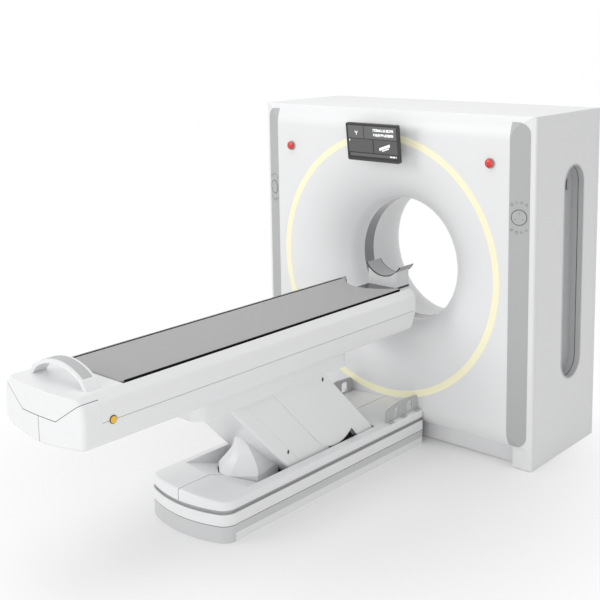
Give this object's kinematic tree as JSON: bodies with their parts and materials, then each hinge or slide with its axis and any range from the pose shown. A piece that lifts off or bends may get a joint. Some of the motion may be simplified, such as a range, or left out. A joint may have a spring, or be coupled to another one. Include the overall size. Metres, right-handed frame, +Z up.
{
  "type": "ct scanner",
  "caption": "Medical scanner with a flared ring gantry, slanted control panels, a screen and a long patient couch on a parallelogram lift.",
  "frame": {"origin": "on the floor under the middle of the scanner's bounding box", "axes": "+Z up, +Y along the couch into the gantry, +X to the right seen from the couch's foot end"},
  "size_m": [1.827, 2.949, 1.82],
  "materials": {
    "housing_white": "satin white moulded cover",
    "couch_white": "satin white moulded cover",
    "panel_grey": "matte silver grey",
    "trim_grey": "matte mid grey",
    "dark_plastic": "matte black",
    "window_grey": "smooth dark grey film",
    "light_diffuser": "pale warm diffuser",
    "screen_glass": "dark display glass",
    "stop_red": "gloss red",
    "button_yellow": "gloss yellow",
    "frame_paint": "grey painted steel",
    "steel": "machined steel",
    "aluminium": "machined aluminium",
    "belt_rubber": "matte black rubber",
    "mat_fabric": "grey coated mat cover",
    "carbon": "carbon fibre laminate",
    "head_shell": "dark moulded shell with a pale rim"
  },
  "bodies": {
    "base": {"front_cover": "housing_white", "rear_cover": "housing_white", "top_cover": "housing_white", "side_cover_left": "housing_white", "side_cover_right": "housing_white", "toe_kick": "housing_white", "control_strips": "panel_grey", "control_dials": "panel_grey", "light_ring": "light_diffuser", "display_housing": "dark_plastic", "display_glass": "screen_glass", "stop_collars": "panel_grey", "pull_recesses": "trim_grey", "scan_window": "window_grey", "bore_liner": "housing_white", "gantry_frame": "frame_paint", "levelling_feet": "steel", "bearing_outer": "steel", "drive_motor": "frame_paint", "drive_belt": "belt_rubber", "base_plate": "frame_paint", "base_plinth": "trim_grey", "base_skirt": "couch_white", "base_cover_right": "couch_white", "base_cover_left": "couch_white", "hoop_brackets": "trim_grey", "lower_pins": "steel", "lift_drive": "frame_paint"},
    "rotor": {"rotor_disk": "aluminium", "bearing_inner": "steel", "slip_ring": "dark_plastic", "xray_tube": "aluminium", "collimator": "steel", "detector_array": "dark_plastic", "hv_generator": "frame_paint"},
    "pulley": {"motor_pulley": "aluminium"},
    "front_link": {"front_link_arms": "frame_paint", "front_link_cover": "couch_white", "toe_fairing": "couch_white"},
    "rear_link": {"rear_link_arms": "frame_paint", "rear_link_cover": "couch_white"},
    "couch": {"couch_frame": "frame_paint", "couch_tray": "couch_white", "side_rails": "couch_white", "nose_cap": "couch_white", "nose_lid": "couch_white", "push_handle": "couch_white", "guide_rails": "dark_plastic", "upper_pins": "steel", "button_bezels": "dark_plastic"},
    "cradle": {"tabletop": "carbon", "mat": "mat_fabric", "head_cradle": "head_shell", "head_block": "couch_white"},
    "stop_left": {"stop_button_left": "stop_red"},
    "stop_right": {"stop_button_right": "stop_red"},
    "release_left": {"release_button_left": "button_yellow"},
    "release_right": {"release_button_right": "button_yellow"},
    "latch_left": {"lock_knob_left": "dark_plastic"},
    "latch_right": {"lock_knob_right": "dark_plastic"}
  },
  "joints": [
    {"name": "rotor_spin", "type": "hinge", "parent": "base", "child": "rotor", "pos_m": [0, 1.2045, 0.957], "axis": [0, 1, 0], "continuous": true},
    {"name": "pulley_spin", "type": "hinge", "parent": "base", "child": "pulley", "pos_m": [0.64, 1.2045, 0.215], "axis": [0, 1, 0], "continuous": true},
    {"name": "lift_front", "type": "hinge", "parent": "base", "child": "front_link", "pos_m": [0, -0.1205, 0.12], "axis": [1, 0, 0], "range_deg": [0, 26]},
    {"name": "lift_rear", "type": "hinge", "parent": "base", "child": "rear_link", "pos_m": [0, 0.3675, 0.12], "axis": [1, 0, 0], "range_deg": [0, 26]},
    {"name": "couch_level", "type": "hinge", "parent": "front_link", "child": "couch", "pos_m": [0, -0.60441, 0.62994], "axis": [1, 0, 0], "range_deg": [-26, 0]},
    {"name": "cradle_travel", "type": "slide", "parent": "couch", "child": "cradle", "axis": [0, -1, 0], "range_m": [-1.5, 0]},
    {"name": "stop_left_push", "type": "slide", "parent": "base", "child": "stop_left", "axis": [0, 1, 0], "range_m": [0, 0.006], "stiffness_N_per_m": 1500, "springref_m": -0.001},
    {"name": "stop_right_push", "type": "slide", "parent": "base", "child": "stop_right", "axis": [0, 1, 0], "range_m": [0, 0.006], "stiffness_N_per_m": 1500, "springref_m": -0.001},
    {"name": "release_left_push", "type": "slide", "parent": "couch", "child": "release_left", "axis": [1, 0, 0], "range_m": [0, 0.004], "stiffness_N_per_m": 1500, "springref_m": -0.001},
    {"name": "release_right_push", "type": "slide", "parent": "couch", "child": "release_right", "axis": [-1, 0, 0], "range_m": [0, 0.004], "stiffness_N_per_m": 1500, "springref_m": -0.001},
    {"name": "latch_left_turn", "type": "hinge", "parent": "base", "child": "latch_left", "pos_m": [-0.88, 1.1685, 1.438], "axis": [-1, 0, 0], "range_deg": [0, 90]},
    {"name": "latch_right_turn", "type": "hinge", "parent": "base", "child": "latch_right", "pos_m": [0.88, 1.1685, 1.438], "axis": [1, 0, 0], "range_deg": [0, 90]}
  ],
  "couplings": [
    {"joint": "pulley_spin", "follows": "rotor_spin", "ratio": 11.5},
    {"joint": "lift_rear", "follows": "lift_front", "ratio": 1},
    {"joint": "couch_level", "follows": "lift_front", "ratio": -1}
  ]
}
